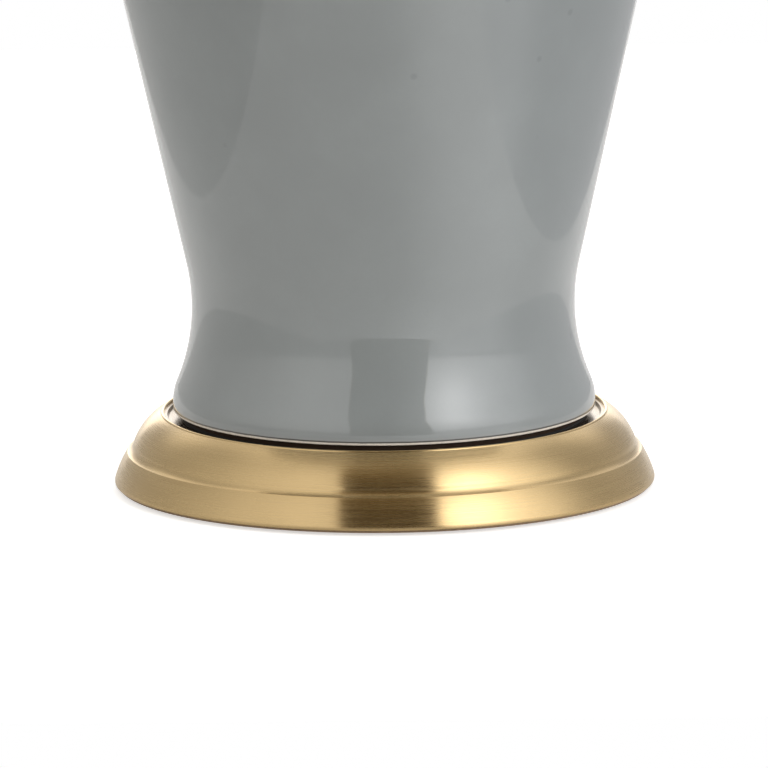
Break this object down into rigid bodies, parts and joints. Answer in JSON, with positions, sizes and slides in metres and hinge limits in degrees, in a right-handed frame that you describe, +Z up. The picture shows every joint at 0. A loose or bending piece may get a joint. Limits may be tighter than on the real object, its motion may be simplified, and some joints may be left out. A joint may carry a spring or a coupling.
{
  "type": "urn table lamp",
  "caption": "Table lamp with a glazed ceramic urn body on a round spun brass base, a turn-switch socket with an LED bulb, a harp and a round linen shade held by a ball finial.",
  "frame": {"origin": "centre of the felt's underside, on the table", "axes": "+Z up along the lamp's axis, switch knob towards -Y, cord inlet towards +Y"},
  "size_m": [0.4097, 0.4098, 0.6884],
  "materials": {
    "felt": "matt felt",
    "fibreboard": "matt pressed board",
    "brushed_brass": "brushed round its axis, satin",
    "black_plastic": "matt",
    "cast_iron": "painted black casting",
    "zinc_steel": "zinc plated",
    "gasket_rubber": "matt",
    "blue_grey_glaze": "high gloss glaze",
    "harp_steel": "brass plated steel, satin",
    "sleeve_card": "waxed card",
    "socket_phenolic": "moulded, matt",
    "contact_brass": "bare",
    "solder": "soldered tip",
    "insulator_black": "glossy",
    "bulb_nickel": "nickel plated",
    "frosted_dome": "frosted white",
    "bulb_white": "satin white",
    "board_white": "white solder mask",
    "led_yellow": "phosphor",
    "driver_green": "solder mask",
    "styrene": "matt white styrene",
    "linen": "woven linen",
    "linen_trim": "folded linen edge",
    "shade_wire": "white coated wire",
    "spider_brass": "brass plated steel, satin"
  },
  "bodies": {
    "stand": {"felt_pad": "felt", "bottom_cover": "fibreboard", "base_shell": "brushed_brass", "cord_bushing": "black_plastic", "base_weight": "cast_iron", "bottom_washer": "zinc_steel", "lock_washer": "zinc_steel", "pipe_nut": "zinc_steel", "foot_gasket": "gasket_rubber", "urn_body": "blue_grey_glaze", "cap_gasket": "gasket_rubber", "vase_cap": "brushed_brass", "brass_neck": "brushed_brass", "check_ring": "brushed_brass", "harp_saddle": "harp_steel", "harp_wire": "harp_steel", "harp_stud": "harp_steel", "socket_cap": "brushed_brass", "set_screw": "zinc_steel", "socket_shell": "brushed_brass", "insulating_sleeve": "sleeve_card", "socket_body": "socket_phenolic", "terminal_screws": "contact_brass", "screw_shell": "contact_brass", "center_contact": "contact_brass", "threaded_pipe": "zinc_steel"},
    "finial": {"finial_base": "brushed_brass", "finial_ball": "brushed_brass"},
    "shade": {"shade_liner": "styrene", "shade_fabric": "linen", "shade_top_trim": "linen_trim", "shade_bottom_trim": "linen_trim", "shade_top_ring": "shade_wire", "shade_bottom_ring": "shade_wire", "shade_spider": "spider_brass"},
    "left_ferrule": {"ferrule_left": "brushed_brass"},
    "right_ferrule": {"ferrule_right": "brushed_brass"},
    "bulb": {"bulb_contact": "solder", "bulb_insulator": "insulator_black", "bulb_base": "bulb_nickel", "bulb_dome": "frosted_dome", "bulb_housing": "bulb_white", "led_board": "board_white", "led_chips": "led_yellow", "led_driver": "driver_green"},
    "switch": {"switch_shaft": "zinc_steel", "switch_knob": "black_plastic"}
  },
  "joints": [
    {"name": "finial_lift", "type": "slide", "parent": "stand", "child": "finial", "axis": [0, 0, 1], "range_m": [0, 0.311]},
    {"name": "shade_lift", "type": "slide", "parent": "stand", "child": "shade", "axis": [0, 0, 1], "range_m": [0, 0.28]},
    {"name": "left_ferrule_slide", "type": "slide", "parent": "stand", "child": "left_ferrule", "axis": [0, 0, 1], "range_m": [0, 0.016]},
    {"name": "right_ferrule_slide", "type": "slide", "parent": "stand", "child": "right_ferrule", "axis": [0, 0, 1], "range_m": [0, 0.016]},
    {"name": "bulb_unscrew", "type": "slide", "parent": "stand", "child": "bulb", "axis": [0, 0, 1], "range_m": [0, 0.03]},
    {"name": "switch_turn", "type": "hinge", "parent": "stand", "child": "switch", "pos_m": [0, -0.02, 0.42617], "axis": [0, -1, 0], "continuous": true}
  ],
  "couplings": [
    {"joint": "shade_lift", "follows": "finial_lift", "ratio": 0.9}
  ]
}
